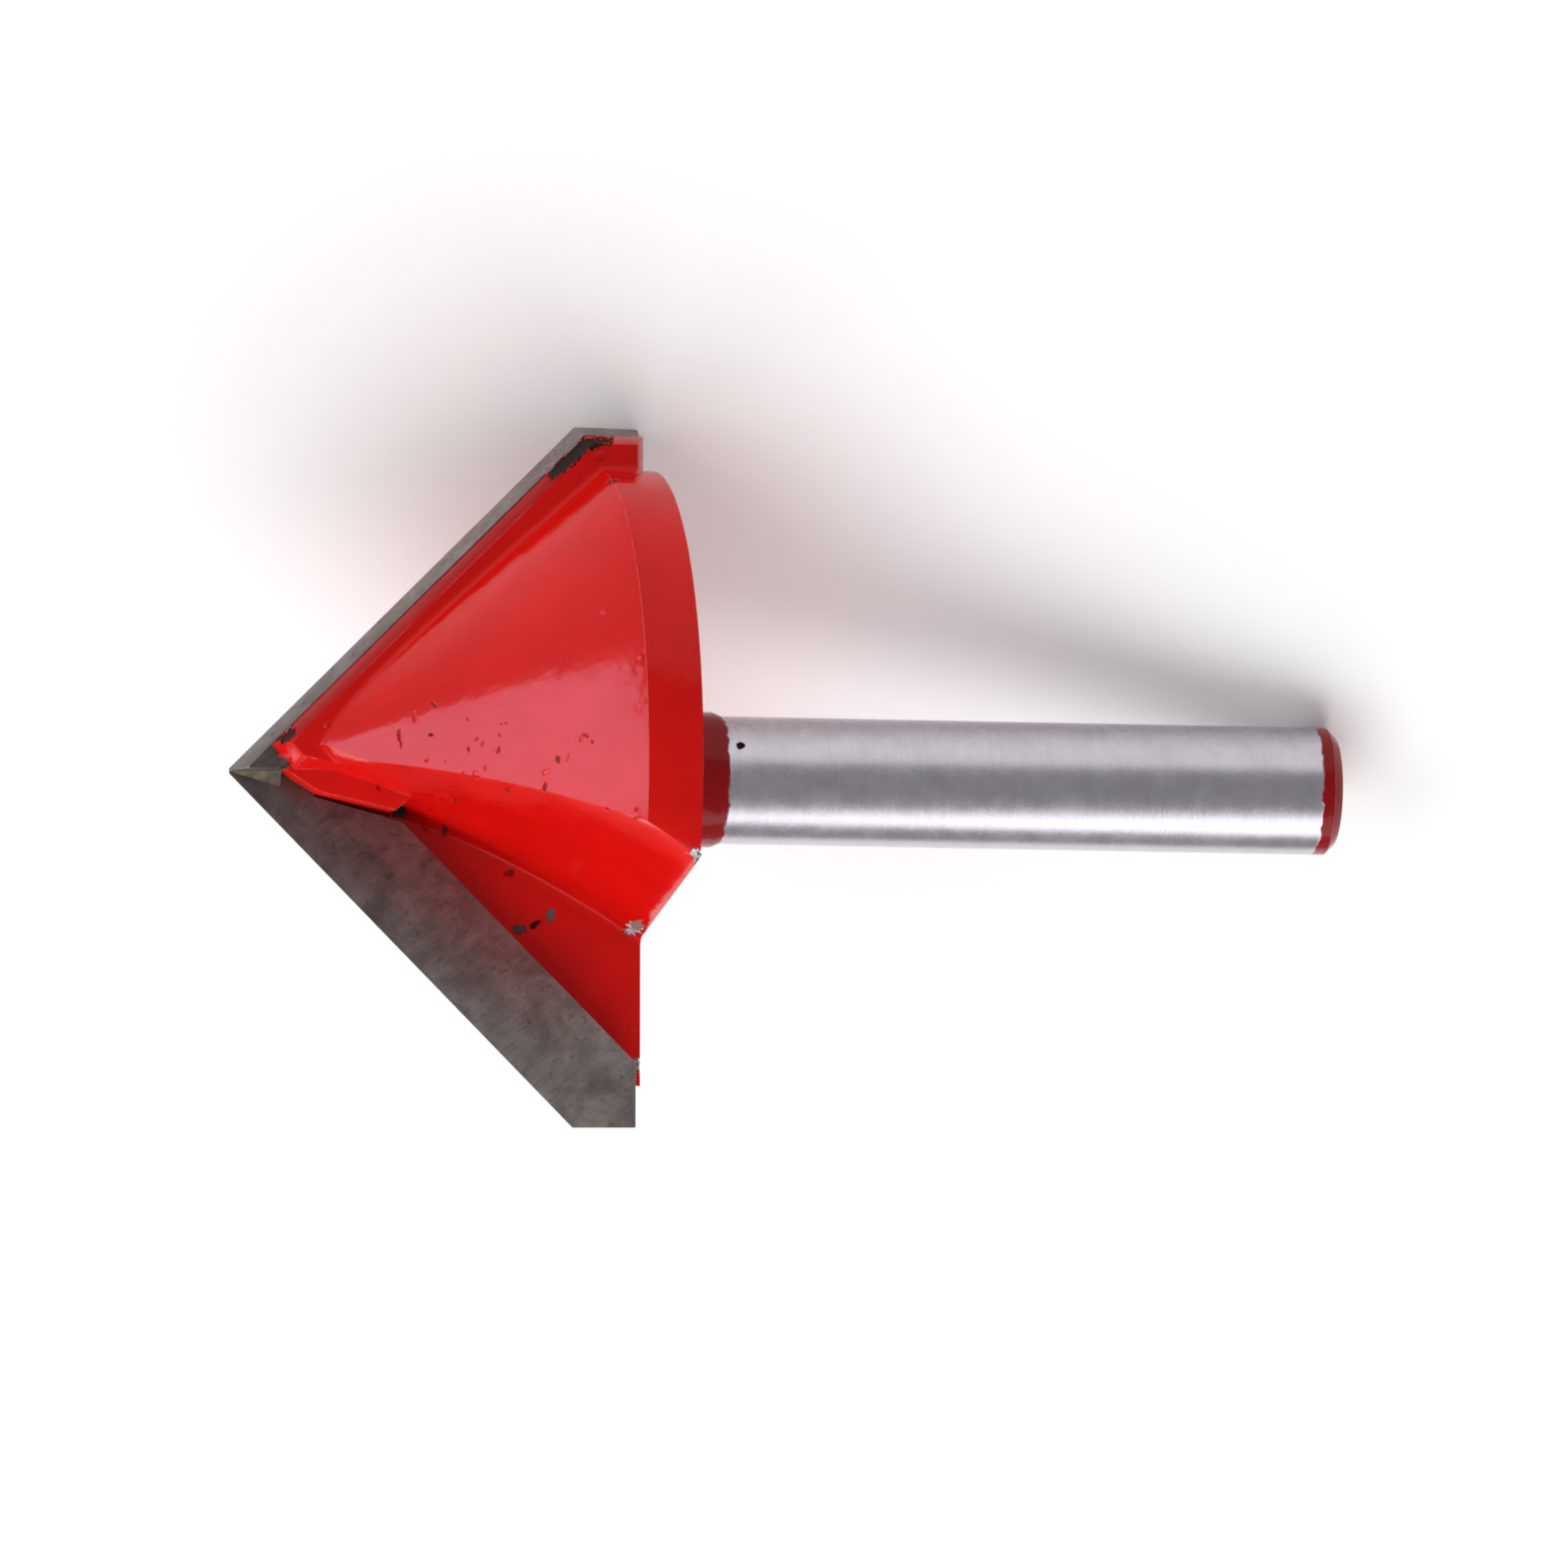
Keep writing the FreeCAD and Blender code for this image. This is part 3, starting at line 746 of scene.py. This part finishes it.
def make_floor():
    """A white floor, brightened a little where it is seen or mirrored."""
    cells = bmesh.new()
    bmesh.ops.create_grid(cells, x_segments=1, y_segments=1, size=FLOOR_HALF)
    mesh = bpy.data.meshes.new("floor")
    cells.to_mesh(mesh)
    cells.free()
    floor = new_piece("floor", mesh)
    material = bpy.data.materials.new("floor_white")
    material.use_nodes = True
    tree = material.node_tree
    shader = tree.nodes["Principled BSDF"]
    put(tree, shader, "Base Color", (FLOOR_SHADE, FLOOR_SHADE, FLOOR_SHADE, 1))
    put(tree, shader, "Roughness", 0.9)
    put(tree, shader, "Specular IOR Level", 0.0)
    path = tree.nodes.new("ShaderNodeLightPath")
    seen = 0.0
    for ray in ("Is Camera Ray", "Is Glossy Ray", "Is Transmission Ray"):
        seen = calc(tree, "ADD", seen, path.outputs[ray], clamp=True)
    put(tree, shader, "Emission Color", (1, 1, 1, 1))
    put(tree, shader, "Emission Strength", calc(tree, "MULTIPLY", seen, FLOOR_LIFT))
    show_material(floor, material)


make_floor()


def softbox(name, direction, distance, width, height, radiance, tint=(1, 1, 1)):
    """A rectangular lamp that faces the bit; radiance is its brightness seen from there."""
    data = bpy.data.lights.new(name, "AREA")
    data.shape = "RECTANGLE"
    data.size = width
    data.size_y = height
    data.energy = radiance * math.pi * width * height
    data.color = tint
    lamp = bpy.data.objects.new(name, data)
    direction = Vector(direction).normalized()
    lamp.location = direction * distance
    lamp.rotation_mode = "QUATERNION"
    lamp.rotation_quaternion = direction.to_track_quat("Z", "Y")
    bpy.context.scene.collection.objects.link(lamp)
    return lamp


softbox(
    "softbox_above", direction=(0.18, -0.41, 0.9), distance=0.7,
    width=0.9, height=0.8, radiance=2.05,
)
# The left side has a wide soft lamp for the light and a smaller card for the gloss
fill = softbox(
    "softbox_left", direction=(-0.86, 0.22, 0.4), distance=0.7,
    width=0.9, height=0.9, radiance=1.25,
)
fill.visible_glossy = False
card = softbox(
    "card_left", direction=(-0.86, 0.22, 0.34), distance=0.6,
    width=0.40, height=0.46, radiance=7.6, tint=(0.80, 0.77, 1.0),
)
card.visible_diffuse = False
softbox(
    "softbox_front", direction=(-0.25, -0.95, 0.2), distance=0.8,
    width=0.7, height=0.3, radiance=2.6,
)


def make_world():
    """An even white sky."""
    world = bpy.data.worlds.new("studio")
    world.use_nodes = True
    background = world.node_tree.nodes["Background"]
    background.inputs["Color"].default_value = (1, 1, 1, 1)
    background.inputs["Strength"].default_value = SKY_STRENGTH
    bpy.context.scene.world = world


make_world()
bpy.context.scene.view_settings.view_transform = "Standard"
